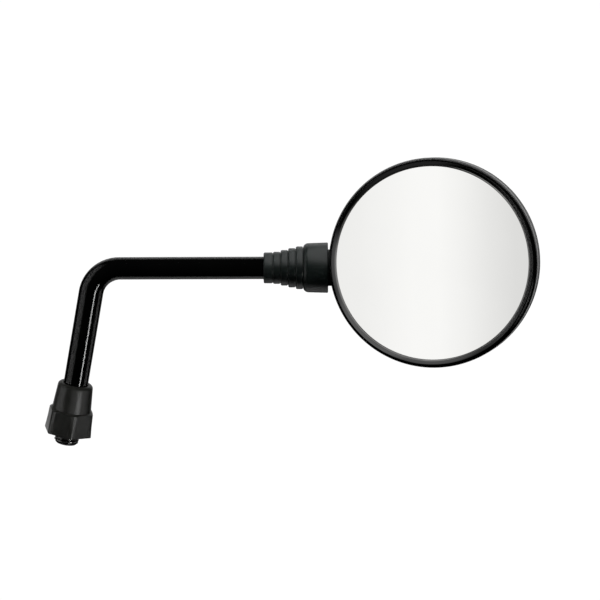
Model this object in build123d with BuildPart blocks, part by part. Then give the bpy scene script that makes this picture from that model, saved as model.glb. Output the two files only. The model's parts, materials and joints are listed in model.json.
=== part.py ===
from build123d import *
from math import asin, cos, degrees, radians, sin, sqrt, tan
import os

# Round motorcycle mirror on a bent stem with a threaded foot.
# The origin lies on the thread's axis in the plane where the lock nut seats, with +Z up the stem.
# The arm leaves the bend towards +X, and the glass faces -Y and a little up.
# All lengths are millimetres and all angles are degrees.

# Stem: a rod with an M10 thread on its foot, a bend that draws it thinner and a ball on its end
rod_d = 10.0
arm_d = 9.1
thread_d = 10.0
thread_pitch_d = 9.19
thread_free_len = 4.4
thread_point = 0.9
thread_neck = 0.4
thread_run = 3.0
upright_len = 70.3
arm_len = 90.6
arm_rise = 10.2
bend_radius = 12.0
ball_d = 10.4
shank_d = 5.6
shank_len = 9.0
shoulder_len = 2.5

# Lock nut and the rubber cap over it
hex_turn = 41.4
nut_flats = 14.0
nut_height = 8.0
nut_chamfer = 0.9
nut_countersink = 0.25
cap_foot = 0.15
cap_wall = 1.95
cap_hex_height = 10.15
cap_hex_draft = 2.4
cap_hex_round = 0.6
cap_hex_chamfer_r = 1.2
cap_hex_chamfer_h = 1.0
cap_foot_chamfer = 0.2
cap_cone_base_d = 16.0
cap_cone_top_d = 14.2
cap_cone_height = 11.0
cap_top_round = 1.0

# Ball joint inside the head's neck
seat_wall = 1.0
swing = 15.0
ring_edge_room = 4.0
ring_edge = 84.0
cup_front = 1.6
cup_len = 5.4
cup_relief_d = 5.0
spring_inner_d = 6.2
spring_thickness = 0.5
spring_cone = 0.35
spring_count = 2
plug_len = 4.5
plug_socket_flats = 6.0
plug_socket_depth = 3.0
mouth_len = 5.0
mouth_chamfer = 0.8
boss_lip = 0.5
neck_d = 14.8

# Head: glass held by a bezel on a domed back shell
head_roll = 12.2
glass_turn = 9.0
glass_offset = 2.4
rim_d = 84.2
neck_len = 5.4
bezel_wall = 2.0
bezel_crest = 1.85
bezel_crest_round = 0.35
bezel_bevel = 1.1
bezel_lip_edge = 0.25
bezel_shoulder_depth = 3.4
parting_depth = 5.0
parting_bevel = 0.25
glass_thickness = 2.0
glass_radius = 1200.0
glass_lip = 1.4
spigot_wall = 1.8
shell_wall = 2.0
shell_depth = 25.2
shell_crown = 6.0
shell_corner = 9.0
pad_d = 60.0
pad_thickness = 1.8
rib_d = 52.0
rib_wall = 1.6

# Rubber boot over the joint
boot_ring_d = (12.5, 13.0, 14.4, 15.9, 17.3)
boot_ring_pitch = 3.07
boot_end_ring_len = 3.65
boot_ring_height = 2.0
boot_ring_round = 0.7
boot_groove = 0.45
boot_groove_depth = 0.5
boot_collar_wall = 2.2
boot_collar_flare = 0.3
boot_collar_round = 2.2
boot_end_round = 0.4
boot_wall = 1.1

# Clearances
running_fit = 0.05
slide_fit = 0.1
soft_fit = 0.3
seat_gap = 0.1
boot_end_gap = 1.8
mouth_gap = 0.4

# Radii and places worked out from the sizes above
rod_r = rod_d / 2
arm_r = arm_d / 2
thread_r = thread_d / 2
thread_pitch_r = thread_pitch_d / 2
ball_r = ball_d / 2
shank_r = shank_d / 2
neck_r = neck_d / 2
rim_r = rim_d / 2
seat_r = ball_r + running_fit
seat_outer_r = seat_r + seat_wall
pocket_r = seat_outer_r + running_fit
glass_r = rim_r - bezel_wall - slide_fit
visible_r = glass_r - glass_lip
neck_depth = parting_depth + neck_r + seat_gap
springs_height = spring_count * (spring_thickness + spring_cone)
cup_back = cup_front + cup_len
plug_front = cup_back + springs_height + (spring_count + 1) * seat_gap
plug_back = plug_front + plug_len
boot_end = neck_len - boot_end_gap
collar_bore_start = -(mouth_len + mouth_gap)
collar_start = collar_bore_start - boot_wall
collar_r = neck_r + soft_fit + boot_collar_wall

arm_dir = Vector(cos(radians(arm_rise)), 0, sin(radians(arm_rise)))
corner = Vector(0, 0, upright_len)
ball_centre = corner + arm_dir * arm_len

# The arm's plane has X along the arm and Y up. The head's frame is that plane rolled about the arm:
# X runs along the neck, Y up the glass and Z out of the glass.
arm_plane = Plane(origin=ball_centre, x_dir=arm_dir, z_dir=(0, -1, 0))
head = Plane(arm_plane.location * Rotation(-head_roll, 0, 0))
neck_axis = Axis(ball_centre, arm_dir)

# Profiles about the neck: X along the neck, Y away from its axis
neck_plane = Plane(origin=ball_centre, x_dir=head.x_dir, z_dir=-head.y_dir)

# The glass is turned on its neck, about the place where the neck meets the rim.
# Profiles about the glass: X away from its axis, Y out of the plane of its visible edge
glass_frame = Plane(head.location * Pos(neck_len, 0, 0) * Rotation(0, -glass_turn, 0))
glass_centre = glass_frame.from_local_coords((rim_r, glass_offset, neck_depth))
glass_plane = Plane(origin=glass_centre, x_dir=glass_frame.x_dir, z_dir=-glass_frame.y_dir)
glass_axis = Axis(glass_centre, glass_frame.z_dir)


os.makedirs("parts", exist_ok=True)


def sphere_point(radius, angle):
    """A point of the neck's profile on a sphere about the ball, by its angle from the rod."""
    return (-radius * cos(radians(angle)), radius * sin(radians(angle)))


def hexagon(flats):
    """The hexagon shared by the nut and the cap over it."""
    return RegularPolygon(flats / 2, 6, major_radius=False, rotation=hex_turn)


# Stem: the foot and the upright, the bend, then the arm, its shank and the ball
thread_top = nut_height + thread_run
bend_len = bend_radius * tan(radians(90 - arm_rise) / 2)
bend_start = corner - Vector(0, 0, bend_len)
bend_end = corner + arm_dir * bend_len
ball_neck = sqrt(ball_r**2 - shank_r**2)
with BuildPart() as stem:
    with BuildSketch(Plane.XZ):
        Polygon(
            (0, -thread_free_len),
            (thread_r - thread_point, -thread_free_len),
            (thread_r, thread_point - thread_free_len),
            (thread_r, -thread_neck),
            (thread_pitch_r, -thread_neck),
            (thread_pitch_r, thread_top),
            (rod_r, thread_top + rod_r - thread_pitch_r),
            (rod_r, bend_start.Z),
            (0, bend_start.Z),
            align=None,
        )
    revolve(axis=Axis.Z)
    with BuildLine() as bend:
        TangentArc(bend_start, bend_end, tangent=(0, 0, 1))
    with BuildSketch(bend.line ^ 0):
        Circle(rod_r)
    with BuildSketch(bend.line ^ 1):
        Circle(arm_r)
    sweep(multisection=True)
    with BuildSketch(arm_plane):
        with BuildLine():
            Polyline(
                (ball_r, 0),
                (bend_len - arm_len, 0),
                (bend_len - arm_len, arm_r),
                (-shank_len - shoulder_len, arm_r),
                (-shank_len, shank_r),
                (-ball_neck, shank_r),
            )
            ThreePointArc((-ball_neck, shank_r), (0, ball_r), (ball_r, 0))
        make_face()
    revolve(axis=neck_axis)
stem.part.label = "stem"
export_step(stem.part, "parts/stem.step")

# Lock nut, with both faces chamfered and a countersunk bore that runs on the thread's pitch diameter
nut_corner_r = nut_flats / sqrt(3)
nut_bore_r = thread_pitch_r + running_fit
nut_mouth_r = thread_r + nut_countersink
with BuildPart() as lock_nut:
    with BuildSketch():
        hexagon(nut_flats)
    extrude(amount=nut_height)
    with BuildSketch(Plane.XZ):
        Polygon(
            (0, 0),
            (nut_flats / 2, 0),
            (nut_corner_r, nut_chamfer),
            (nut_corner_r, nut_height - nut_chamfer),
            (nut_flats / 2, nut_height),
            (0, nut_height),
            align=None,
        )
    revolve(axis=Axis.Z, mode=Mode.INTERSECT)
    with BuildSketch(Plane.XZ):
        Polygon(
            (0, 0),
            (nut_mouth_r, 0),
            (nut_bore_r, nut_mouth_r - nut_bore_r),
            (nut_bore_r, nut_height - nut_mouth_r + nut_bore_r),
            (nut_mouth_r, nut_height),
            (0, nut_height),
            align=None,
        )
    revolve(axis=Axis.Z, mode=Mode.SUBTRACT)
lock_nut.part.label = "lock_nut"
export_step(lock_nut.part, "parts/lock_nut.step")

# Rubber cap: a drafted hexagon with turned-down corners, and a cone that closes on the rod
cap_shoulder = cap_foot + cap_hex_height
cap_top = cap_shoulder + cap_cone_height
cap_flats = nut_flats + 2 * cap_wall
cap_corner_r = cap_flats / sqrt(3)
with BuildPart() as base_cap:
    with BuildSketch(Plane.XY.offset(cap_foot)):
        hexagon(cap_flats)
    extrude(amount=cap_hex_height, taper=cap_hex_draft)
    fillet(base_cap.edges().filter_by(GeomType.LINE).sort_by(Axis.Z)[6:12], cap_hex_round)
    with BuildSketch(Plane.XZ):
        Polygon(
            (0, cap_foot),
            (cap_corner_r - cap_foot_chamfer, cap_foot),
            (cap_corner_r, cap_foot + cap_foot_chamfer),
            (cap_corner_r, cap_shoulder - cap_hex_chamfer_h),
            (cap_corner_r - cap_hex_chamfer_r, cap_shoulder),
            (0, cap_shoulder),
            align=None,
        )
    revolve(axis=Axis.Z, mode=Mode.INTERSECT)
    with BuildSketch(Plane.XZ) as cone_profile:
        Polygon(
            (0, cap_shoulder - cap_hex_chamfer_h),
            (cap_cone_base_d / 2, cap_shoulder - cap_hex_chamfer_h),
            (cap_cone_base_d / 2, cap_shoulder),
            (cap_cone_top_d / 2, cap_top),
            (0, cap_top),
            align=None,
        )
        top_edge = (cap_cone_top_d / 2, cap_top)
        fillet(cone_profile.vertices().sort_by_distance(top_edge)[0], cap_top_round)
    revolve(axis=Axis.Z)
    with BuildSketch(Plane.XY.offset(cap_foot)):
        hexagon(nut_flats + 2 * slide_fit)
    extrude(amount=nut_height + slide_fit - cap_foot, mode=Mode.SUBTRACT)
    with BuildSketch(Plane.XY.offset(cap_foot)):
        Circle(rod_r + slide_fit)
    extrude(amount=cap_top - cap_foot, mode=Mode.SUBTRACT)
base_cap.part.label = "base_cap"
export_step(base_cap.part, "parts/base_cap.step")

# Ball seat on the rod's side: a ring of a hollow sphere, open enough for the shank to swing
ring_mouth = degrees(asin(shank_r / seat_r)) + swing + ring_edge_room
ring_middle = (ring_mouth + ring_edge) / 2
with BuildPart() as ball_seat_ring:
    with BuildSketch(neck_plane):
        with BuildLine():
            ThreePointArc(*(sphere_point(seat_r, a) for a in (ring_mouth, ring_middle, ring_edge)))
            Line(sphere_point(seat_r, ring_edge), sphere_point(seat_outer_r, ring_edge))
            ThreePointArc(*(sphere_point(seat_outer_r, a) for a in (ring_edge, ring_middle, ring_mouth)))
            Line(sphere_point(seat_outer_r, ring_mouth), sphere_point(seat_r, ring_mouth))
        make_face()
    revolve(axis=neck_axis)
ball_seat_ring.part.label = "ball_seat_ring"
export_step(ball_seat_ring.part, "parts/ball_seat_ring.step")

# Ball seat on the glass's side: a cup that slides in the neck's bore
with BuildPart() as ball_seat_cup:
    with BuildSketch(neck_plane):
        Polygon(
            (cup_front, 0),
            (cup_front, seat_outer_r),
            (cup_back, seat_outer_r),
            (cup_back, cup_relief_d / 2),
            (cup_front, cup_relief_d / 2),
            align=None,
        )
    revolve(axis=neck_axis)
    with BuildSketch(neck_plane):
        with BuildLine():
            Line((-seat_r, 0), (seat_r, 0))
            ThreePointArc((-seat_r, 0), (0, seat_r), (seat_r, 0))
        make_face()
    revolve(axis=neck_axis, mode=Mode.SUBTRACT)
ball_seat_cup.part.label = "ball_seat_cup"
export_step(ball_seat_cup.part, "parts/ball_seat_cup.step")

# Disc springs behind the cup, stacked face to face
spring_r = seat_outer_r - slide_fit
with BuildPart() as disc_springs:
    for index in range(spring_count):
        spring_back = cup_back + seat_gap + index * (spring_thickness + spring_cone + seat_gap)
        inner_shift = spring_cone * (1 - index % 2)
        outer_shift = spring_cone - inner_shift
        with BuildSketch(neck_plane):
            Polygon(
                (spring_back + inner_shift, spring_inner_d / 2),
                (spring_back + outer_shift, spring_r),
                (spring_back + outer_shift + spring_thickness, spring_r),
                (spring_back + inner_shift + spring_thickness, spring_inner_d / 2),
                align=None,
            )
        revolve(axis=neck_axis)
disc_springs.part.label = "disc_springs"
export_step(disc_springs.part, "parts/disc_springs.step")

# Plug that loads the springs, with a hexagon socket to turn it
with BuildPart() as socket_plug:
    with BuildSketch(Plane(ball_centre + head.x_dir * plug_front, z_dir=head.x_dir)):
        Circle(pocket_r - running_fit)
    extrude(amount=plug_len)
    with BuildSketch(Plane(ball_centre + head.x_dir * plug_back, z_dir=head.x_dir)):
        RegularPolygon(plug_socket_flats / 2, 6, major_radius=False)
    extrude(amount=-plug_socket_depth, mode=Mode.SUBTRACT)
socket_plug.part.label = "socket_plug"
export_step(socket_plug.part, "parts/socket_plug.step")

# Back shell: a domed cup with a spigot for the bezel, a rib for the pad and a hollow neck
shell_edge_depth = shell_depth - shell_crown
crown_radius = (rim_r**2 + shell_crown**2) / (2 * shell_crown)
rib_foot = crown_radius - sqrt(crown_radius**2 - (rib_d / 2) ** 2) + shell_wall / 2 - shell_depth
glass_back = -glass_thickness - seat_gap
pad_back = glass_back - pad_thickness
spigot_foot = -parting_depth - shell_wall
full_swing = radians(swing * sqrt(2))
flare = tan(full_swing)
throat_r = shank_r / cos(full_swing) + soft_fit
lip_x = (sqrt(pocket_r**2 * (1 + flare**2) - throat_r**2) - throat_r * flare) / (1 + flare**2)
lip_r = throat_r + lip_x * flare
lip_angle = degrees(asin(lip_r / pocket_r))


def dome(radius, depth, edge_depth, corner):
    """Half the outline of a dome that is open at the bezel's joint, with a rounded corner at the back."""
    with BuildSketch(glass_plane, mode=Mode.PRIVATE) as outline:
        with BuildLine():
            Polyline(
                (0, -depth),
                (0, -parting_depth),
                (radius - parting_bevel, -parting_depth),
                (radius, -parting_depth - parting_bevel),
                (radius, -edge_depth),
            )
            TangentArc((0, -depth), (radius, -edge_depth), tangent=(1, 0))
        make_face()
        fillet(outline.vertices().sort_by_distance((radius, -edge_depth))[0], corner)
    return outline.sketch


with BuildPart() as back_shell:
    revolve(dome(rim_r, shell_depth, shell_edge_depth, shell_corner), axis=glass_axis)
    revolve(
        dome(
            rim_r - shell_wall,
            shell_depth - shell_wall,
            shell_edge_depth - shell_wall,
            shell_corner - shell_wall,
        ),
        axis=glass_axis,
        mode=Mode.SUBTRACT,
    )
    with BuildSketch(glass_plane):
        Polygon(
            (glass_r - spigot_wall, spigot_foot),
            (glass_r - spigot_wall, glass_back),
            (glass_r, glass_back),
            (glass_r, -parting_depth),
            (rim_r - shell_wall / 2, -parting_depth),
            (rim_r - shell_wall / 2, spigot_foot),
            align=None,
        )
        Polygon(
            (rib_d / 2 - rib_wall / 2, rib_foot),
            (rib_d / 2 + rib_wall / 2, rib_foot),
            (rib_d / 2 + rib_wall / 2, pad_back),
            (rib_d / 2 - rib_wall / 2, pad_back),
            align=None,
        )
    revolve(axis=glass_axis)
    with BuildSketch(neck_plane):
        Polygon(
            (-mouth_len, 0),
            (-mouth_len, neck_r - mouth_chamfer),
            (mouth_chamfer - mouth_len, neck_r),
            (plug_back + boss_lip, neck_r),
            (plug_back + boss_lip, 0),
            align=None,
        )
    revolve(axis=neck_axis)
    with BuildSketch(neck_plane):
        with BuildLine():
            ThreePointArc(*(sphere_point(pocket_r, a) for a in (90, (90 + lip_angle) / 2, lip_angle)))
            Polyline(
                (-lip_x, lip_r),
                (-mouth_len, throat_r + mouth_len * flare),
                (-mouth_len, 0),
                (plug_back + boss_lip, 0),
                (plug_back + boss_lip, pocket_r),
                (0, pocket_r),
            )
        make_face()
    revolve(axis=neck_axis, mode=Mode.SUBTRACT)
back_shell.part.label = "back_shell"
export_step(back_shell.part, "parts/back_shell.step")

# Bezel: a ring with a lip over the glass, a bevel inside its crest and a rounded outer wall
bezel_bore_r = glass_r + slide_fit
lip_back = running_fit
crest = (visible_r + bezel_bevel, bezel_crest)
with BuildPart() as bezel:
    with BuildSketch(glass_plane) as bezel_profile:
        with BuildLine():
            Polyline(
                crest,
                (visible_r, lip_back + bezel_lip_edge),
                (visible_r, lip_back),
                (bezel_bore_r, lip_back),
                (bezel_bore_r, -parting_depth),
                (rim_r - parting_bevel, -parting_depth),
                (rim_r, parting_bevel - parting_depth),
                (rim_r, -bezel_shoulder_depth),
            )
            TangentArc((rim_r, -bezel_shoulder_depth), crest, tangent=(0, 1))
        make_face()
        fillet(bezel_profile.vertices().sort_by_distance(crest)[0], bezel_crest_round)
    revolve(axis=glass_axis)
bezel.part.label = "bezel"
export_step(bezel.part, "parts/bezel.step")

# Mirror glass, a slice of a large sphere that meets the bezel's lip at its visible edge
glass_apex = glass_radius - sqrt(glass_radius**2 - visible_r**2)
glass_edge = glass_apex - glass_radius + sqrt(glass_radius**2 - glass_r**2)
with BuildPart() as mirror_glass:
    with BuildSketch(glass_plane):
        with BuildLine():
            TangentArc((0, glass_apex), (glass_r, glass_edge), tangent=(1, 0))
            Line((glass_r, glass_edge), (glass_r, glass_edge - glass_thickness))
            TangentArc(
                (0, glass_apex - glass_thickness), (glass_r, glass_edge - glass_thickness), tangent=(1, 0)
            )
            Line((0, glass_apex - glass_thickness), (0, glass_apex))
        make_face()
    revolve(axis=glass_axis)
mirror_glass.part.label = "mirror_glass"
export_step(mirror_glass.part, "parts/mirror_glass.step")

# Foam pad that fills between the glass and the shell's rib
pad_r = pad_d / 2
pad_apex = glass_apex - glass_thickness - seat_gap
pad_edge = pad_apex - glass_radius + sqrt(glass_radius**2 - pad_r**2)
with BuildPart() as glass_pad:
    with BuildSketch(glass_plane):
        with BuildLine():
            TangentArc((0, pad_apex), (pad_r, pad_edge), tangent=(1, 0))
            Polyline((pad_r, pad_edge), (pad_r, pad_back), (0, pad_back), (0, pad_apex))
        make_face()
    revolve(axis=glass_axis)
glass_pad.part.label = "glass_pad"
export_step(glass_pad.part, "parts/glass_pad.step")

# Rubber boot: stepped rings from the rod up to a collar that covers the neck
ring_len = [boot_end_ring_len] + [boot_ring_pitch] * (len(boot_ring_d) - 1)
ring_start = [collar_start - sum(ring_len[index:]) for index in range(len(ring_len))]
ring_bore_r = [max(arm_r + slide_fit, d / 2 - boot_groove_depth - boot_wall) for d in boot_ring_d]
with BuildPart() as boot:
    with BuildSketch(neck_plane) as boot_profile:
        Polygon(
            (collar_start, 0),
            (collar_start, collar_r),
            (boot_end, collar_r + boot_collar_flare),
            (boot_end, 0),
            align=None,
        )
        shoulder = (collar_start, collar_r)
        fillet(boot_profile.vertices().sort_by_distance(shoulder)[0], boot_collar_round)
        open_end = (boot_end, collar_r + boot_collar_flare)
        fillet(boot_profile.vertices().sort_by_distance(open_end)[0], boot_end_round)
        for ring_d, length, start in zip(boot_ring_d, ring_len, ring_start):
            core_r = ring_d / 2 - boot_groove_depth
            with Locations((start + length / 2, core_r / 2)):
                Rectangle(length, core_r)
            with Locations((start + length / 2, (ring_d - boot_ring_height) / 2)):
                RectangleRounded(length - boot_groove, boot_ring_height, boot_ring_round)
        for bore_r, length, start in zip(ring_bore_r, ring_len, ring_start):
            with Locations((start + length / 2, bore_r / 2)):
                Rectangle(length, bore_r, mode=Mode.SUBTRACT)
        with Locations((collar_start + boot_wall / 2, ring_bore_r[-1] / 2)):
            Rectangle(boot_wall, ring_bore_r[-1], mode=Mode.SUBTRACT)
        with Locations(((collar_bore_start + boot_end) / 2, (neck_r + soft_fit) / 2)):
            Rectangle(boot_end - collar_bore_start, neck_r + soft_fit, mode=Mode.SUBTRACT)
    revolve(axis=neck_axis)
boot.part.label = "boot"
export_step(boot.part, "parts/boot.step")
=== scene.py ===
import json
from math import atan2, cos, pi, radians, sin, sqrt, tan
import bmesh
import bpy
from mathutils import Matrix, Vector


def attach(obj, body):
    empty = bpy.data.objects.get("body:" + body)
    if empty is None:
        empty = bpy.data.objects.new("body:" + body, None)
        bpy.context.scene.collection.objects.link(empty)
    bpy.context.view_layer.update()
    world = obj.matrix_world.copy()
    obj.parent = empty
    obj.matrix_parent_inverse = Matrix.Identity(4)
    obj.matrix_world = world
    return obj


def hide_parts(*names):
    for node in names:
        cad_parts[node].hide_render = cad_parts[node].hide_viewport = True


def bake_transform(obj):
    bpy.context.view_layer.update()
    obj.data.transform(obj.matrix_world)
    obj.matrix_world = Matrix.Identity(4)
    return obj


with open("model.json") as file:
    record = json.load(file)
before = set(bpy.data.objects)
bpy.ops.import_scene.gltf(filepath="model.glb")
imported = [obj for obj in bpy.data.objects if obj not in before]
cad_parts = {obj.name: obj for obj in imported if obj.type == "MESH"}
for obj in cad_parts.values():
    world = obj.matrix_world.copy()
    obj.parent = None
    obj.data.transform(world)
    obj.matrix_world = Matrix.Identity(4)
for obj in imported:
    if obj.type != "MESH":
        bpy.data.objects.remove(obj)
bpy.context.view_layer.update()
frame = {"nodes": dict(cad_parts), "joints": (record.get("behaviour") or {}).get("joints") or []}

# Round motorcycle mirror. All lengths are metres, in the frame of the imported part.

# Places and directions that the joints give
joints = {joint["name"]: joint for joint in frame["joints"]}
ball = Vector(joints["head_roll"]["pos_m"])
arm_dir = Vector(joints["head_roll"]["axis"]).normalized()
head_up = Vector(joints["head_pan"]["axis"]).normalized()
head_out = Vector(joints["head_raise"]["axis"]).normalized()

# Meshes: the angle past which an edge is sharp, and the steps in a rounded corner
sharp_edge = radians(40)
round_steps = 7

# Stem: rod, cut thread, bend, arm, shoulder, shank and ball
rod_r = 0.005
arm_r = 0.00455
thread_r = 0.005
thread_root_r = 0.00432
thread_worn_r = 0.0047
thread_pitch_r = 0.004595
thread_pitch = 0.00125
thread_flat = 0.2
thread_foot = -0.0044
thread_point = 0.0009
thread_end = 0.0115
thread_run_out = 0.0012
nut_top = 0.0080
nut_lead_in = 0.0004
bend_radius = 0.012
shank_r = 0.0028
shank_len = 0.009
shoulder_len = 0.0025
ball_r = 0.0052
stem_sides = 96
thread_rows = 24
straight_step = 0.002
bend_step = radians(2.0)
ball_steps = 24

# Boot: places along the arm from the ball's centre, and radii.
# Its first rings and its last one are built as separate pieces.
boot_ring_r = (0.00625, 0.0065, 0.0072, 0.00795, 0.00865)
boot_ring_bore = (0.00465, 0.0049, 0.0062, 0.00695, 0.0072)
boot_ring_edges = (-0.02243, -0.01878, -0.01571, -0.01264, -0.00957, -0.0065)
boot_collar_start = boot_ring_edges[-1]
boot_collar_bore = -0.0054
boot_end = 0.0036
boot_groove = 0.00035
boot_groove_depth = 0.00025
boot_groove_round = 0.0001
boot_ring_left_round = 0.0006
boot_ring_right_round = 0.0002
boot_collar_r = 0.0099
boot_collar_end_r = 0.0102
boot_collar_inner_r = 0.0077
boot_collar_round = 0.0022
boot_end_round = 0.0004
boot_sides = 128
boot_pan_rings = range(4)
boot_raise_rings = range(4, 5)

# Glass: a slice of a large sphere, turned on the head's neck. Its back has fewer rows of points.
glass_turn = radians(9.0)
glass_right = cos(glass_turn) * arm_dir + sin(glass_turn) * head_out
glass_out = cos(glass_turn) * head_out - sin(glass_turn) * arm_dir
glass_sphere_r = 1.2
glass_thickness = 0.002
glass_edge_round = 0.0002
glass_sides = 192
glass_step = 0.001
glass_back_every = 4

# Bezel: widths of its lip and bevel, heights and roundings.
# Its outer wall is part of an ellipse, from an angle off the ellipse's top down to its side.
bezel_rim = 0.0035
bezel_wall = 0.002
bezel_lip = 0.0007
bezel_bevel = 0.0012
bezel_bevel_height = 0.00055
bezel_crest_drop = 0.0001
bezel_lip_depth = 0.0018
bezel_lip_edge = 0.00025
bezel_lip_round = 0.00015
bezel_crest_round = 0.0001
bezel_wall_start = radians(22)
bezel_shoulder = 0.0016
bezel_edge = 0.00025
bezel_steps = 16
bezel_sides = 256

# Shell: how near to its crown points count as one
shell_crown = 0.0005

# Cap: heights, half widths of its hexagons, radii and roundings
cap_foot = 0.00015
cap_shoulder = 0.0103
cap_top = 0.0213
cap_half_flats = 0.00895
cap_half_flats_top = 0.008525
cap_hex_round = 0.0008
cap_foot_round = 0.0002
cap_corner_drop = 0.0006
cap_corner_r = 0.0092
cap_cone_base_r = 0.0080
cap_cone_top_r = 0.0071
cap_edge_round = 0.0003
cap_top_round = 0.0014
cap_bore_r = 0.0051
cap_nut_half_flats = 0.0071
cap_nut_top = 0.0081
cap_turn = radians(41.4)
cap_sides = 360

# Materials: the part of a noise's range that is used, the foam's cells a metre, and the rubbers' shades
noise_low = 0.3
noise_high = 0.7
foam_cells = 1500.0
boot_shades = ((0.0040, 0.0066, 0.0060), (0.0075, 0.0105, 0.0098))
cap_shades = ((0.0075, 0.0078, 0.0066), (0.0130, 0.0133, 0.0118))

# Camera
camera_at = Vector((0.018397, -1.415251, 0.439267))
camera_azimuth = radians(-2.6505)
camera_elevation = radians(14.5444)
camera_roll = radians(-10.3446)
camera_lens = 216.65
camera_sensor = 36.0

# Floor
floor_height = -0.15
floor_size = 30.0
floor_glow = 0.76
floor_paint = 0.26

# Panels of the set: bearing from and to, elevation from and to and soft edge in degrees, and brightness
panels = {
    "left_panel": (-100, -52, -32, 50, 10, 0.55),
    "right_panel": (90, 118, -36, -14, 6, 0.42),
}

# Pale backdrop of the set: where its middle lies, how far it spreads, and brightness
backdrop_turn = radians(25)
backdrop_rise = radians(80)
backdrop_from = 0.66
backdrop_to = 0.98
backdrop_level = 0.5

# Even light from all sides, which shows in no reflection
ambient = 0.08

# Walls round the set that only some pieces reflect: radii, which differ so that no two coincide, and faces
surround_r = {"mirror": 50.0, "bezel": 52.0, "cap": 54.0, "arm": 56.0}
surround_segments = 96
surround_rings = 48

# Pale wall that the glass reflects. It is dim near the floor: elevation from and to, and brightness.
surround_dim = (-44, -28, 0.15)

# Its panels
surround_panels = {
    "left_low": (-98, -50, -64, -30, 6, 5.0),
    "right_high": (36, 90, -14, 50, 8, 2.4),
    "overhead": (-50, 50, 45, 84, 8, 2.2),
}

# Its shades: bearing in degrees, and brightness
surround_stops = (
    (-180, 0.70),
    (-75, 0.50),
    (-45, 0.55),
    (-30, 0.84),
    (-21.2, 0.91),
    (-16.0, 1.02),
    (-10.3, 0.76),
    (-4, 0.70),
    (30, 0.90),
    (70, 0.78),
    (180, 0.85),
)

# Narrow strip that gives the upright and the cap a bright line
strip_light = (35, 47, -46, -20, 2, 10.0)

# Panels that only the bezel reflects
bezel_panels = {
    "right": (26, 60, -16, 10, 6, 1.5),
    "upper_right": (2, 60, 12, 52, 6, 2.3),
    "overhead": (-42, 4, 36, 70, 6, 1.7),
    "upper_left": (-78, -40, 18, 52, 6, 0.5),
    "low": (-30, 40, -70, -38, 8, 0.35),
}

# Panels that only the rubber cap reflects
cap_panels = {
    "strip": strip_light,
    "front_right": (-14, 92, -34, 2, 8, 0.6),
    "left": (-112, -60, -36, 0, 8, 0.8),
    "left_back": (-178, -140, -50, 10, 8, 0.5),
}

# Panels behind and over the arm and under it that only the rod and the boot reflect
arm_panels = {
    "strip": strip_light,
    "right_under": (128, 200, -80, -34, 8, 0.45),
    "left_under": (-200, -128, -80, -34, 8, 0.45),
    "right_over": (128, 200, 34, 76, 8, 0.35),
    "left_over": (-200, -128, 34, 76, 8, 0.35),
}

# Lamps: the direction they stand in, level, and softness in degrees
lamps = {
    "key": ((-0.10, -0.35, 1.0), 0.90, 50),
    "front_fill": ((-0.4, -1.0, 0.25), 0.03, 60),
    "back_fill": ((0.5, 1.0, 0.5), 0.30, 60),
}

# Softbox over the boot
softbox_bearing = radians(40)
softbox_elevation = radians(58)
softbox_distance = 1.0
softbox_size = (1.8, 1.8)
softbox_level = 1.2


def camera_axes():
    """The picture's right, up and towards-the-viewer directions."""
    flat = cos(camera_elevation)
    back = Vector((sin(camera_azimuth) * flat, -cos(camera_azimuth) * flat, sin(camera_elevation)))
    flat_right = Vector((0, 0, 1)).cross(back).normalized()
    flat_up = back.cross(flat_right)
    up = cos(camera_roll) * flat_up + sin(camera_roll) * flat_right
    return up.cross(back), up, back


picture_right, picture_up, picture_back = camera_axes()


# Mesh helpers

def span(node, axis):
    """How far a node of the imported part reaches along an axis."""
    reach = [vertex.co.dot(axis) for vertex in frame["nodes"][node].data.vertices]
    return min(reach), max(reach)


def smoothstep(low, high, value):
    """A smooth rise from 0 to 1 as a value goes from low to high."""
    share = min(1.0, max(0.0, (value - low) / (high - low)))
    return share * share * (3 - 2 * share)


def shown(made):
    """Links a new object to the scene."""
    bpy.context.scene.collection.objects.link(made)
    return made


def piece(name, points, faces):
    """A new object, smooth-shaded apart from its sharp edges."""
    mesh = bpy.data.meshes.new(name)
    mesh.from_pydata(points, [], faces)
    work = bmesh.new()
    work.from_mesh(mesh)
    bmesh.ops.recalc_face_normals(work, faces=work.faces)
    work.to_mesh(mesh)
    work.free()
    mesh.shade_smooth()
    mesh.set_sharp_from_angle(angle=sharp_edge)
    return shown(bpy.data.objects.new(name, mesh))


def strip(rows, first, second):
    """The quads between two neighbouring rows of points that are closed on themselves."""
    count = len(rows[first])
    low, high = first * count, second * count
    for index in range(count):
        after = (index + 1) % count
        yield (low + index, low + after, high + after, high + index)


def skin(name, rows, ends):
    """A piece through rows of points, closed by a fan to each end point, or with no ends into a loop."""
    points = [point for row in rows for point in row]
    faces = [face for index in range(len(rows) - 1) for face in strip(rows, index, index + 1)]
    if not ends:
        faces += strip(rows, len(rows) - 1, 0)
    count = len(rows[0])
    for end, row in zip(ends, (0, len(rows) - 1)):
        pole = len(points)
        points.append(end)
        faces += [(row * count + i, row * count + (i + 1) % count, pole) for i in range(count)]
    return piece(name, points, faces)


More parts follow.
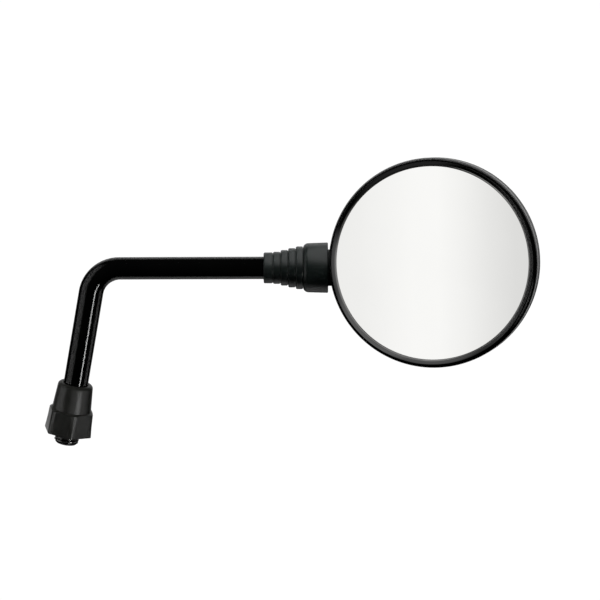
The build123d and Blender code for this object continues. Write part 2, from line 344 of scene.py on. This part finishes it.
def rounded(corners):
    """An outline through (x, y, rounding) corners, closed on itself, with an arc at each rounded corner."""
    outline = []
    for index, (x, y, rounding) in enumerate(corners):
        corner = Vector((x, y))
        if not rounding:
            outline.append(corner)
            continue
        before = (Vector(corners[index - 1][:2]) - corner).normalized()
        after = (Vector(corners[(index + 1) % len(corners)][:2]) - corner).normalized()
        half = before.angle(after) / 2
        centre = corner + (before + after).normalized() * rounding / sin(half)
        start = corner + before * rounding / tan(half) - centre
        turn = start.angle_signed(corner + after * rounding / tan(half) - centre)
        for step in range(round_steps + 1):
            outline.append(centre + Matrix.Rotation(-turn * step / round_steps, 2) @ start)
    return outline


def turned(outline, origin, axis, side, sides):
    """Rows of points for an outline of (place along the axis, radius) that is turned about the axis."""
    across = axis.cross(side)
    turns = [2 * pi * index / sides for index in range(sides)]
    spokes = [cos(turn) * side + sin(turn) * across for turn in turns]
    return [[origin + axis * place + radius * spoke for spoke in spokes] for place, radius in outline]


# Pieces

def thread_radius(height, turn):
    """The thread's radius: pointed at the foot, plain inside the nut and run out into the rod."""
    place = (height / thread_pitch - turn / (2 * pi)) % 1
    ridge = smoothstep(thread_flat, 1 - thread_flat, abs(2 * place - 1))
    radius = thread_root_r + (thread_r - thread_root_r) * ridge
    radius += (rod_r - radius) * smoothstep(thread_end - thread_run_out, thread_end, height)
    in_nut = smoothstep(0, nut_lead_in, height) * smoothstep(nut_top, nut_top - nut_lead_in, height)
    radius += (thread_pitch_r - radius) * in_nut
    return min(radius, thread_r - thread_point + height - thread_foot)


def stem_rows():
    """Rows of points along the stem, from its foot to its ball."""
    turns = [2 * pi * side / stem_sides for side in range(stem_sides)]
    rows = []

    def row(middle, lean, radius_at):
        side = Vector((cos(lean), 0, -sin(lean)))
        rows.append(
            [middle + radius_at(t) * (cos(t) * side + sin(t) * Vector((0, 1, 0))) for t in turns]
        )

    turn = atan2(arm_dir.x, arm_dir.z)
    arm_len = ball.x / arm_dir.x
    corner = ball - arm_dir * arm_len
    bend_len = bend_radius * tan(turn / 2)
    thread_count = round((thread_end - thread_foot) / thread_pitch * thread_rows)
    for index in range(thread_count + 1):
        height = thread_foot + (thread_end - thread_foot) * index / thread_count
        row(Vector((0, 0, height)), 0, lambda t: thread_radius(height, t))
    upright_end = corner.z - bend_len
    upright_count = round((upright_end - thread_end) / straight_step)
    for index in range(1, upright_count + 1):
        height = thread_end + (upright_end - thread_end) * index / upright_count
        row(Vector((0, 0, height)), 0, lambda t: rod_r)
    bend_count = round(turn / bend_step)
    bend_centre = Vector((bend_radius, 0, upright_end))
    for index in range(1, bend_count + 1):
        lean = turn * index / bend_count
        radius = rod_r + (arm_r - rod_r) * index / bend_count
        row(bend_centre - bend_radius * Vector((cos(lean), 0, -sin(lean))), lean, lambda t: radius)
    arm_end = arm_len - shank_len - shoulder_len
    arm_count = round((arm_end - bend_len) / straight_step)
    for index in range(1, arm_count + 1):
        place = bend_len + (arm_end - bend_len) * index / arm_count
        row(corner + arm_dir * place, turn, lambda t: arm_r)
    row(ball - arm_dir * shank_len, turn, lambda t: shank_r)
    ball_start = pi - atan2(shank_r, sqrt(ball_r**2 - shank_r**2))
    for index in range(ball_steps):
        angle = ball_start * (1 - index / ball_steps)
        row(ball + arm_dir * ball_r * cos(angle), turn, lambda t: ball_r * sin(angle))
    return rows


def stem():
    """The bent rod, with its thread, and the ball on its end."""
    ends = (Vector((0, 0, thread_foot)), ball + arm_dir * ball_r)
    made = skin("stem_rod", stem_rows(), ends)
    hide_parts("stem")
    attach(made, "stem")
    return made


def hexagon_radius(turn, half_flats, rounding):
    """A hexagon's distance from its middle in a direction, with rounded corners."""
    off_corner = abs((turn - cap_turn + pi / 6) % (pi / 3) - pi / 6)
    off_face = pi / 6 - off_corner
    arc_middle = (half_flats - rounding) / cos(pi / 6)
    if half_flats * tan(off_face) <= (half_flats - rounding) * tan(pi / 6):
        return half_flats / cos(off_face)
    return arc_middle * cos(off_corner) + sqrt(rounding**2 - (arc_middle * sin(off_corner)) ** 2)


def cap_outline(turn):
    """The cap's outline in one direction, as (radius, height) from its foot round to its hollow."""
    foot_r = hexagon_radius(turn, cap_half_flats, cap_hex_round)
    edge_r = min(hexagon_radius(turn, cap_half_flats_top, cap_hex_round), cap_corner_r)
    nut_r = hexagon_radius(turn, cap_nut_half_flats, 0)
    edge_z = cap_shoulder - cap_corner_drop * smoothstep(cap_half_flats_top, cap_corner_r, edge_r)
    corners = [
        (nut_r, cap_foot, 0),
        (foot_r, cap_foot, cap_foot_round),
        (edge_r, edge_z, cap_edge_round),
        (cap_cone_base_r, cap_shoulder, cap_foot_round),
        (cap_cone_top_r, cap_top, cap_top_round),
        (cap_bore_r, cap_top, cap_foot_round),
        (cap_bore_r, cap_nut_top, 0),
        (nut_r, cap_nut_top, 0),
    ]
    return rounded(corners)


def cap():
    """The rubber cap over the nut, with the soft edges of a moulding."""
    turns = [2 * pi * side / cap_sides for side in range(cap_sides)]
    outlines = [cap_outline(turn) for turn in turns]
    rows = [
        [Vector((r * cos(turn), r * sin(turn), z)) for turn, (r, z) in zip(turns, places)]
        for places in zip(*outlines)
    ]
    made = skin("cap_rubber", rows, ends=())
    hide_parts("base_cap")
    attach(made, "cap")
    return made


def boot_part(name, corners):
    """A part of the boot, turned about the arm."""
    made = skin(name, turned(rounded(corners), ball, arm_dir, head_up, boot_sides), ends=())
    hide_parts("boot")
    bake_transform(made)
    return made


def boot_rings(name, rings):
    """Rings of the boot: rounded steps with a groove after each, and a bore that follows them."""
    corners = [(boot_ring_edges[rings[0]], boot_ring_bore[rings[0]], 0)]
    for ring in rings:
        left = boot_ring_edges[ring]
        right = boot_ring_edges[ring + 1] - boot_groove / 2
        if ring:
            floor_r = boot_ring_r[ring - 1] - boot_groove_depth
            corners.append((left, floor_r, 0))
            left += boot_groove / 2
            corners.append((left, floor_r, boot_groove_round))
        corners.append((left, boot_ring_r[ring], boot_ring_left_round))
        corners.append((right, boot_ring_r[ring], boot_ring_right_round))
        corners.append((right, boot_ring_r[ring] - boot_groove_depth, boot_groove_round / 2))
    last = rings[-1]
    corners.append((boot_ring_edges[last + 1], boot_ring_r[last] - boot_groove_depth, 0))
    for ring in reversed(rings):
        corners.append((boot_ring_edges[ring + 1], boot_ring_bore[ring], 0))
        if ring > rings[0]:
            corners.append((boot_ring_edges[ring], boot_ring_bore[ring], 0))
    return boot_part(name, corners)


def boot_collar():
    """The boot's collar over the head's neck, with a web at its start."""
    web_r = boot_ring_bore[-1]
    corners = [
        (boot_collar_start, web_r, 0),
        (boot_collar_start, boot_collar_r, boot_collar_round),
        (boot_end, boot_collar_end_r, boot_end_round),
        (boot_end, boot_collar_inner_r, boot_groove_round),
        (boot_collar_bore, boot_collar_inner_r, boot_groove_round),
        (boot_collar_bore, web_r, 0),
    ]
    return boot_part("boot_collar", corners)


def glass():
    """The mirror glass, with a fine even face so that its reflections run smoothly."""
    left, right = span("mirror_glass", glass_right)
    low, high = span("mirror_glass", head_up)
    apex = span("mirror_glass", glass_out)[1]
    middle = glass_right * (left + right) / 2 + head_up * (low + high) / 2 + glass_out * apex
    edge_r = (right - left) / 2

    def drop(radius):
        return sqrt(glass_sphere_r**2 - radius**2) - glass_sphere_r

    face_r = edge_r - glass_edge_round
    count = round(face_r / glass_step)
    front = [(drop(face_r * step / count), face_r * step / count) for step in range(1, count + 1)]
    side = [(drop(edge_r) - glass_edge_round, edge_r), (drop(edge_r) - glass_thickness, edge_r)]
    back = [(place - glass_thickness, radius) for place, radius in reversed(front[::glass_back_every])]
    rows = turned(front + side + back, middle, glass_out, glass_right, glass_sides)
    made = skin("mirror_face", rows, (middle, middle - glass_out * glass_thickness))
    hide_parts("mirror_glass")
    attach(made, "head")
    return made


def bezel():
    """The ring round the glass: a steep lip, a bevel up to its crest and a curved wall outside it."""
    left, right = span("bezel", glass_right)
    low, high = span("bezel", head_up)
    back, front = span("bezel", glass_out)
    crest = front - bezel_crest_drop
    middle = glass_right * (left + right) / 2 + head_up * (low + high) / 2
    rim_r = min(right - left, high - low) / 2
    bore_r = rim_r - bezel_wall
    visible_r = rim_r - bezel_rim
    crest_r = visible_r + bezel_lip + bezel_bevel
    shoulder = back + bezel_shoulder
    lip = front - bezel_lip_depth
    corners = [
        (lip, visible_r, 0),
        (lip + bezel_lip_edge, visible_r, 0),
        (crest - bezel_bevel_height, visible_r + bezel_lip, bezel_lip_round),
        (crest, crest_r, bezel_crest_round),
    ]
    rise = (crest - shoulder) / cos(bezel_wall_start)
    reach = (rim_r - crest_r) / (1 - sin(bezel_wall_start))
    for step in range(1, bezel_steps + 1):
        turn = bezel_wall_start + (pi / 2 - bezel_wall_start) * step / bezel_steps
        corners.append((shoulder + rise * cos(turn), rim_r - reach * (1 - sin(turn)), 0))
    corners += [
        (back + bezel_edge, rim_r, 0),
        (back, rim_r - bezel_edge, 0),
        (back, bore_r, 0),
        (lip, bore_r, 0),
    ]
    rows = turned(rounded(corners), middle, glass_out, glass_right, bezel_sides)
    made = skin("bezel_ring", rows, ends=())
    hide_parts("bezel")
    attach(made, "head")
    return made


def shell():
    """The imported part's back shell, with one point at its crown so that its shading is even there."""
    source = frame["nodes"]["back_shell"].data
    points = [vertex.co for vertex in source.vertices]
    crown = min(points, key=glass_out.dot)
    at_crown = [index for index, point in enumerate(points) if (point - crown).length < shell_crown]
    pole = at_crown[0]
    faces = []
    normals = []
    for face in source.polygons:
        corners = [pole if index in at_crown else index for index in face.vertices]
        if len(set(corners)) == len(corners):
            faces.append(corners)
            for index, loop in zip(corners, face.loop_indices):
                normals.append(-glass_out if index == pole else source.corner_normals[loop].vector)
    mesh = bpy.data.meshes.new("shell_moulding")
    mesh.from_pydata(points, [], faces)
    mesh.shade_smooth()
    mesh.normals_split_custom_set(normals)
    made = shown(bpy.data.objects.new("shell_moulding", mesh))
    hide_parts("back_shell")
    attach(made, "head")
    return made


# Material helpers

def add(tree, kind, inputs=(), **settings):
    """A new node with its settings, and its inputs set or linked."""
    node = tree.nodes.new(kind)
    for name, value in settings.items():
        setattr(node, name, value)
    for name, value in dict(inputs).items():
        if isinstance(value, bpy.types.NodeSocket):
            tree.links.new(value, node.inputs[name])
        else:
            node.inputs[name].default_value = value
    return node


def calculate(tree, operation, *values):
    """The result of a sum on values or sockets."""
    return add(tree, "ShaderNodeMath", enumerate(values), operation=operation).outputs[0]


def band(tree, value, low, high, out_low=0.0, out_high=1.0):
    """A smooth step of a value between two places."""
    ends = {"From Min": low, "From Max": high, "To Min": out_low, "To Max": out_high}
    return add(
        tree, "ShaderNodeMapRange", {"Value": value, **ends}, interpolation_type="SMOOTHSTEP"
    ).outputs["Result"]


def grey(level):
    """A neutral colour."""
    return level, level, level, 1


def noise(tree, size, detail=3.0, squeeze=(1, 1, 1)):
    """Noise over the piece with features of about that size."""
    place = add(tree, "ShaderNodeTexCoord").outputs["Object"]
    scaled = add(tree, "ShaderNodeMapping", {"Vector": place, "Scale": squeeze}).outputs[0]
    return add(
        tree, "ShaderNodeTexNoise", {"Vector": scaled, "Scale": 1 / size, "Detail": detail}
    ).outputs["Fac"]


def spread(tree, factor, low, high):
    """Noise stretched over a range of values."""
    ends = {"From Min": noise_low, "From Max": noise_high, "To Min": low, "To Max": high}
    return add(tree, "ShaderNodeMapRange", {"Value": factor, **ends}).outputs["Result"]


def shade(tree, factor, dark, light):
    """Noise turned into colours from dark to light."""
    ramp = add(tree, "ShaderNodeValToRGB", {"Fac": factor})
    ramp.color_ramp.elements[0].position = noise_low
    ramp.color_ramp.elements[0].color = (*dark, 1)
    ramp.color_ramp.elements[1].position = noise_high
    ramp.color_ramp.elements[1].color = (*light, 1)
    return ramp.outputs["Color"]


def relief(tree, factor, depth):
    """Noise turned into bumps."""
    return add(tree, "ShaderNodeBump", {"Height": factor, "Distance": depth}).outputs["Normal"]


def material(name, **sockets):
    """A new material whose shader has these constant values."""
    made = bpy.data.materials.new(name)
    made.use_nodes = True
    shader = made.node_tree.nodes["Principled BSDF"]
    for socket, value in sockets.items():
        shader.inputs[socket.replace("_", " ")].default_value = value
    return made, made.node_tree, shader


def wire(tree, shader, colour, roughness, normal):
    """Links what varies over the surface to the shader."""
    tree.links.new(colour, shader.inputs["Base Color"])
    tree.links.new(roughness, shader.inputs["Roughness"])
    tree.links.new(normal, shader.inputs["Normal"])


# Materials

def gloss_paint():
    """Black enamel with a faint orange peel."""
    made, tree, shader = material("gloss_black_enamel", IOR=1.5)
    patch = noise(tree, size=0.02)
    peel = noise(tree, size=0.0016, detail=1.0)
    colour = shade(tree, patch, dark=(0.0010, 0.0011, 0.0011), light=(0.0020, 0.0021, 0.0020))
    roughness = spread(tree, patch, low=0.05, high=0.09)
    wire(tree, shader, colour, roughness, relief(tree, peel, depth=0.000004))
    return made


def worn_thread():
    """Black steel whose paint is worn off the thread's crests."""
    made, tree, shader = material("worn_black_thread", IOR=1.5)
    place = add(tree, "ShaderNodeTexCoord").outputs["Object"]
    flat = add(tree, "ShaderNodeVectorMath", {0: place, 1: (1, 1, 0)}, operation="MULTIPLY").outputs[0]
    from_axis = add(tree, "ShaderNodeVectorMath", {0: flat}, operation="LENGTH").outputs["Value"]
    scuffs = spread(tree, noise(tree, size=0.0012, detail=4.0), low=0.35, high=1.0)
    worn = calculate(tree, "MULTIPLY", band(tree, from_axis, thread_worn_r, thread_r), scuffs)
    colour = add(tree, "ShaderNodeValToRGB", {"Fac": worn})
    colour.color_ramp.elements[0].color = (0.002, 0.0021, 0.002, 1)
    colour.color_ramp.elements[1].color = (0.36, 0.36, 0.35, 1)
    tree.links.new(worn, shader.inputs["Metallic"])
    grain = noise(tree, size=0.0004, detail=2.0)
    roughness = spread(tree, grain, low=0.16, high=0.3)
    wire(tree, shader, colour.outputs["Color"], roughness, relief(tree, grain, depth=0.000006))
    return made


def rubber(name, dark, light):
    """Moulded black rubber with a fine grain and a slight bloom."""
    made, tree, shader = material(name, IOR=1.5)
    bloom = noise(tree, size=0.006, detail=5.0)
    grain = noise(tree, size=0.00035, detail=4.0)
    colour = shade(tree, bloom, dark, light)
    roughness = spread(tree, bloom, low=0.30, high=0.40)
    wire(tree, shader, colour, roughness, relief(tree, grain, depth=0.00002))
    return made


def bezel_plastic():
    """Gloss black moulded plastic with slight flow waves."""
    made, tree, shader = material("gloss_black_plastic", IOR=1.5)
    patch = noise(tree, size=0.012)
    wave = noise(tree, size=0.003, detail=1.0)
    colour = shade(tree, patch, dark=(0.0012, 0.0013, 0.0012), light=(0.0024, 0.0025, 0.0024))
    roughness = spread(tree, patch, low=0.06, high=0.10)
    wire(tree, shader, colour, roughness, relief(tree, wave, depth=0.000004))
    return made


def shell_plastic():
    """Satin black plastic with the grain of an etched mould."""
    made, tree, shader = material("etched_black_plastic", IOR=1.48)
    patch = noise(tree, size=0.015, detail=4.0)
    grain = noise(tree, size=0.0005, detail=2.0)
    colour = shade(tree, patch, dark=(0.018, 0.018, 0.0185), light=(0.028, 0.028, 0.0285))
    roughness = spread(tree, grain, low=0.30, high=0.46)
    wire(tree, shader, colour, roughness, relief(tree, grain, depth=0.00002))
    return made


def mirror_silver():
    """Silvered glass, with a trace of haze."""
    made, tree, shader = material("mirror_silver", Metallic=1.0)
    haze = noise(tree, size=0.018, detail=2.0)
    colour = shade(tree, haze, dark=(0.921, 0.919, 0.902), light=(0.931, 0.929, 0.912))
    roughness = spread(tree, haze, low=0.012, high=0.02)
    wire(tree, shader, colour, roughness, relief(tree, haze, depth=0.0000002))
    return made


def zinc_steel():
    """Zinc-plated steel with cutting marks round the thread's axis."""
    made, tree, shader = material("zinc_steel", Metallic=1.0)
    patch = noise(tree, size=0.004, detail=4.0)
    marks = noise(tree, size=0.0012, detail=3.0, squeeze=(1, 1, 7))
    colour = shade(tree, patch, dark=(0.42, 0.43, 0.44), light=(0.56, 0.57, 0.58))
    roughness = spread(tree, marks, low=0.26, high=0.40)
    wire(tree, shader, colour, roughness, relief(tree, marks, depth=0.00001))
    return made


def seat_plastic():
    """Off-white bearing plastic."""
    made, tree, shader = material("bearing_plastic", IOR=1.48)
    patch = noise(tree, size=0.003)
    colour = shade(tree, patch, dark=(0.70, 0.69, 0.65), light=(0.78, 0.77, 0.73))
    roughness = spread(tree, patch, low=0.36, high=0.48)
    wire(tree, shader, colour, roughness, relief(tree, patch, depth=0.00001))
    return made


def spring_steel():
    """Dark tempered steel."""
    made, tree, shader = material("tempered_steel", Metallic=1.0)
    patch = noise(tree, size=0.002, detail=4.0)
    colour = shade(tree, patch, dark=(0.20, 0.20, 0.21), light=(0.36, 0.35, 0.35))
    roughness = spread(tree, patch, low=0.24, high=0.36)
    wire(tree, shader, colour, roughness, relief(tree, patch, depth=0.000008))
    return made


def pad_foam():
    """Closed-cell foam."""
    made, tree, shader = material("cell_foam", IOR=1.4)
    place = add(tree, "ShaderNodeTexCoord").outputs["Object"]
    cells = add(tree, "ShaderNodeTexVoronoi", {"Vector": place, "Scale": foam_cells}).outputs["Distance"]
    colour = shade(tree, cells, dark=(0.07, 0.07, 0.072), light=(0.13, 0.13, 0.132))
    roughness = spread(tree, cells, low=0.75, high=0.95)
    wire(tree, shader, colour, roughness, relief(tree, cells, depth=0.0001))
    return made


def dress(finish, *pieces):
    """Gives the finish to each piece."""
    for dressed in pieces:
        if not dressed.material_slots:
            dressed.data.materials.append(finish)
        for slot in dressed.material_slots:
            slot.material = finish


def dress_foot(finish, rod):
    """Gives the finish to the rod's thread below the nut."""
    rod.data.materials.append(finish)
    for face in rod.data.polygons:
        if face.center.z < 0:
            face.material_index = 1


# Stage

def along(tree, direction, axis):
    """How far a direction points along a fixed axis of the set."""
    return add(
        tree, "ShaderNodeVectorMath", {0: direction, 1: axis}, operation="DOT_PRODUCT"
    ).outputs["Value"]


def bearing_of(tree, direction):
    """A direction's bearing round the set, from the viewer's side towards the picture's right."""
    across = along(tree, direction, picture_right)
    toward = along(tree, direction, picture_back)
    return calculate(tree, "ARCTAN2", across, toward)


def window(tree, value, low, high, edge):
    """One between two places and zero outside them, with soft edges."""
    opened = band(tree, value, low - edge, low + edge)
    return calculate(tree, "MULTIPLY", opened, band(tree, value, high - edge, high + edge, 1, 0))


def with_panels(tree, bearing, elevation, listed, level):
    """A level with the listed panels added to it."""
    for from_bearing, to_bearing, low, high, edge, brightness in listed.values():
        across = window(tree, bearing, radians(from_bearing), radians(to_bearing), radians(edge))
        upright = window(tree, elevation, radians(low), radians(high), radians(edge))
        panel = calculate(tree, "MULTIPLY", across, upright)
        level = calculate(tree, "MULTIPLY_ADD", panel, brightness, level)
    return level


def studio_world():
    """White to the camera. Reflections show a pale backdrop and panels at the sides."""
    world = bpy.data.worlds.new("studio")
    bpy.context.scene.world = world
    world.use_nodes = True
    world.cycles.sampling_method = "NONE"
    tree = world.node_tree
    direction = add(tree, "ShaderNodeTexCoord").outputs["Generated"]
    bearing = bearing_of(tree, direction)
    elevation = calculate(tree, "ARCSINE", along(tree, direction, picture_up))
    aside = picture_right * cos(backdrop_rise) + picture_up * sin(backdrop_rise)
    away = aside * sin(backdrop_turn) - picture_back * cos(backdrop_turn)
    backdrop = band(tree, along(tree, direction, away), backdrop_from, backdrop_to, 0, backdrop_level)
    studio = with_panels(tree, bearing, elevation, panels, backdrop)
    ray = add(tree, "ShaderNodeLightPath").outputs
    open_white = calculate(tree, "MAXIMUM", ray["Is Camera Ray"], ray["Is Transmission Ray"])
    seen = calculate(tree, "MULTIPLY_ADD", ray["Is Glossy Ray"], studio, open_white)
    strength = calculate(tree, "MULTIPLY_ADD", ray["Is Diffuse Ray"], ambient, seen)
    tree.links.new(strength, tree.nodes["Background"].inputs["Strength"])
    tree.nodes["Background"].inputs["Color"].default_value = (1, 1, 1, 1)


def light_only(source, *pieces):
    """A source lights only these pieces."""
    receivers = bpy.data.collections.new(source.name + "_receivers")
    for lit in pieces:
        receivers.objects.link(lit)
    source.light_linking.receiver_collection = receivers


def mirror_paint(tree, bearing, elevation):
    """A pale wall, dim near the floor, with soft changes round it."""
    dim_from, dim_to, dim_level = surround_dim
    level = band(tree, elevation, radians(dim_from), radians(dim_to), dim_level, 1)
    share = add(tree, "ShaderNodeMapRange", {"Value": bearing, "From Min": -pi, "From Max": pi})
    pale = add(tree, "ShaderNodeValToRGB", {"Fac": share.outputs["Result"]})
    pale.color_ramp.interpolation = "EASE"
    while len(pale.color_ramp.elements) < len(surround_stops):
        pale.color_ramp.elements.new(1.0)
    for element, (degrees, brightness) in zip(pale.color_ramp.elements, surround_stops):
        element.position = (degrees + 180) / 360
        element.color = grey(brightness)
    strength = with_panels(tree, bearing, elevation, surround_panels, level)
    return {"Color": pale.outputs["Color"], "Strength": strength}


def panel_paint(listed):
    """Paint for a surround that shows only the listed panels."""
    def paint(tree, bearing, elevation):
        return {"Strength": with_panels(tree, bearing, elevation, listed, 0.0)}
    return paint


def surround(name, radius, paint, *seen_in):
    """A glowing wall round the set that only these pieces reflect."""
    mesh = bpy.data.meshes.new(name)
    work = bmesh.new()
    bmesh.ops.create_uvsphere(
        work, u_segments=surround_segments, v_segments=surround_rings, radius=radius
    )
    work.to_mesh(mesh)
    work.free()
    mesh.shade_smooth()
    wall = shown(bpy.data.objects.new(name, mesh))
    made = bpy.data.materials.new(name)
    made.use_nodes = True
    made.cycles.emission_sampling = "NONE"
    tree = made.node_tree
    tree.nodes.clear()
    place = add(tree, "ShaderNodeTexCoord").outputs["Object"]
    direction = add(tree, "ShaderNodeVectorMath", {0: place}, operation="NORMALIZE").outputs[0]
    elevation = calculate(tree, "ARCSINE", along(tree, direction, picture_up))
    glow = add(tree, "ShaderNodeEmission", paint(tree, bearing_of(tree, direction), elevation))
    clear = add(tree, "ShaderNodeBsdfTransparent")
    both = add(tree, "ShaderNodeAddShader", {0: glow.outputs[0], 1: clear.outputs[0]})
    add(tree, "ShaderNodeOutputMaterial", {"Surface": both.outputs[0]})
    mesh.materials.append(made)
    for kind in ("camera", "diffuse", "transmission", "volume_scatter", "shadow"):
        setattr(wall, "visible_" + kind, False)
    light_only(wall, *seen_in)


def floor():
    """A pale floor that is white to the camera and keeps the part's shadow."""
    half = floor_size / 2
    corners = [(-half, -half), (half, -half), (half, half), (-half, half)]
    mesh = bpy.data.meshes.new("floor")
    mesh.from_pydata([(x, y, floor_height) for x, y in corners], [], [(0, 1, 2, 3)])
    ground = shown(bpy.data.objects.new("floor", mesh))
    made = bpy.data.materials.new("pale_floor")
    made.use_nodes = True
    tree = made.node_tree
    tree.nodes.clear()
    camera_ray = add(tree, "ShaderNodeLightPath").outputs["Is Camera Ray"]
    glow_strength = calculate(tree, "MULTIPLY", camera_ray, floor_glow)
    glow = add(tree, "ShaderNodeEmission", {"Strength": glow_strength})
    paint = add(tree, "ShaderNodeBsdfDiffuse", {"Color": grey(floor_paint)})
    both = add(tree, "ShaderNodeAddShader", {0: glow.outputs[0], 1: paint.outputs[0]})
    add(tree, "ShaderNodeOutputMaterial", {"Surface": both.outputs[0]})
    mesh.materials.append(made)
    ground.visible_diffuse = False
    ground.visible_glossy = False


def soft_light(name, towards, level, softness):
    """An even soft light from a direction, at a level where 1 shows a colour as it is written."""
    light = bpy.data.lights.new(name, "SUN")
    light.energy = level * pi
    light.angle = softness
    lamp = shown(bpy.data.objects.new(name, light))
    lamp.rotation_mode = "QUATERNION"
    lamp.rotation_quaternion = Vector(towards).to_track_quat("Z", "Y")
    lamp.visible_glossy = False


def lights():
    """The lamps over, before and behind the part."""
    for name, (towards, level, softness) in lamps.items():
        soft_light(name, towards, level, radians(softness))


def boot_softbox(*pieces):
    """A large softbox over the part that gives the boot its sheen."""
    light = bpy.data.lights.new("boot_softbox", "AREA")
    light.shape = "RECTANGLE"
    light.size, light.size_y = softbox_size
    light.energy = softbox_level * pi * light.size * light.size_y
    lamp = shown(bpy.data.objects.new("boot_softbox", light))
    level_way = picture_back * cos(softbox_bearing) + picture_right * sin(softbox_bearing)
    towards = picture_up * sin(softbox_elevation) + level_way * cos(softbox_elevation)
    across = picture_up.cross(towards).normalized()
    turn = Matrix((across, towards.cross(across), towards)).transposed()
    lamp.matrix_world = Matrix.Translation(ball + towards * softbox_distance) @ turn.to_4x4()
    lamp.visible_camera = False
    light_only(lamp, *pieces)


def camera():
    """The view of the photograph."""
    data = bpy.data.cameras.new("camera")
    data.sensor_width = camera_sensor
    data.lens = camera_lens
    made = shown(bpy.data.objects.new("camera", data))
    turn = Matrix((picture_right, picture_up, picture_back)).transposed()
    made.matrix_world = Matrix.Translation(camera_at) @ turn.to_4x4()
    bpy.context.scene.camera = made


nodes = frame["nodes"]
mirror = glass()
ring = bezel()
boot = (
    boot_rings("boot_rings", boot_pan_rings),
    boot_rings("boot_last_ring", boot_raise_rings),
    boot_collar(),
)
rubber_cap = cap()
rod = stem()
dress(gloss_paint(), rod)
dress_foot(worn_thread(), rod)
dress(rubber("boot_rubber", *boot_shades), *boot)
dress(rubber("cap_rubber", *cap_shades), rubber_cap)
dress(bezel_plastic(), ring)
dress(shell_plastic(), shell())
dress(mirror_silver(), mirror)
dress(zinc_steel(), nodes["lock_nut"], nodes["socket_plug"])
dress(seat_plastic(), nodes["ball_seat_ring"], nodes["ball_seat_cup"])
dress(spring_steel(), nodes["disc_springs"])
dress(pad_foam(), nodes["glass_pad"])

camera()
lights()
boot_softbox(*boot)
floor()
studio_world()
surround("mirror_surround", surround_r["mirror"], mirror_paint, mirror)
surround("bezel_surround", surround_r["bezel"], panel_paint(bezel_panels), ring)
surround("cap_surround", surround_r["cap"], panel_paint(cap_panels), rubber_cap)
surround("arm_surround", surround_r["arm"], panel_paint(arm_panels), rod, *boot)
bpy.context.scene.view_settings.view_transform = "Standard"
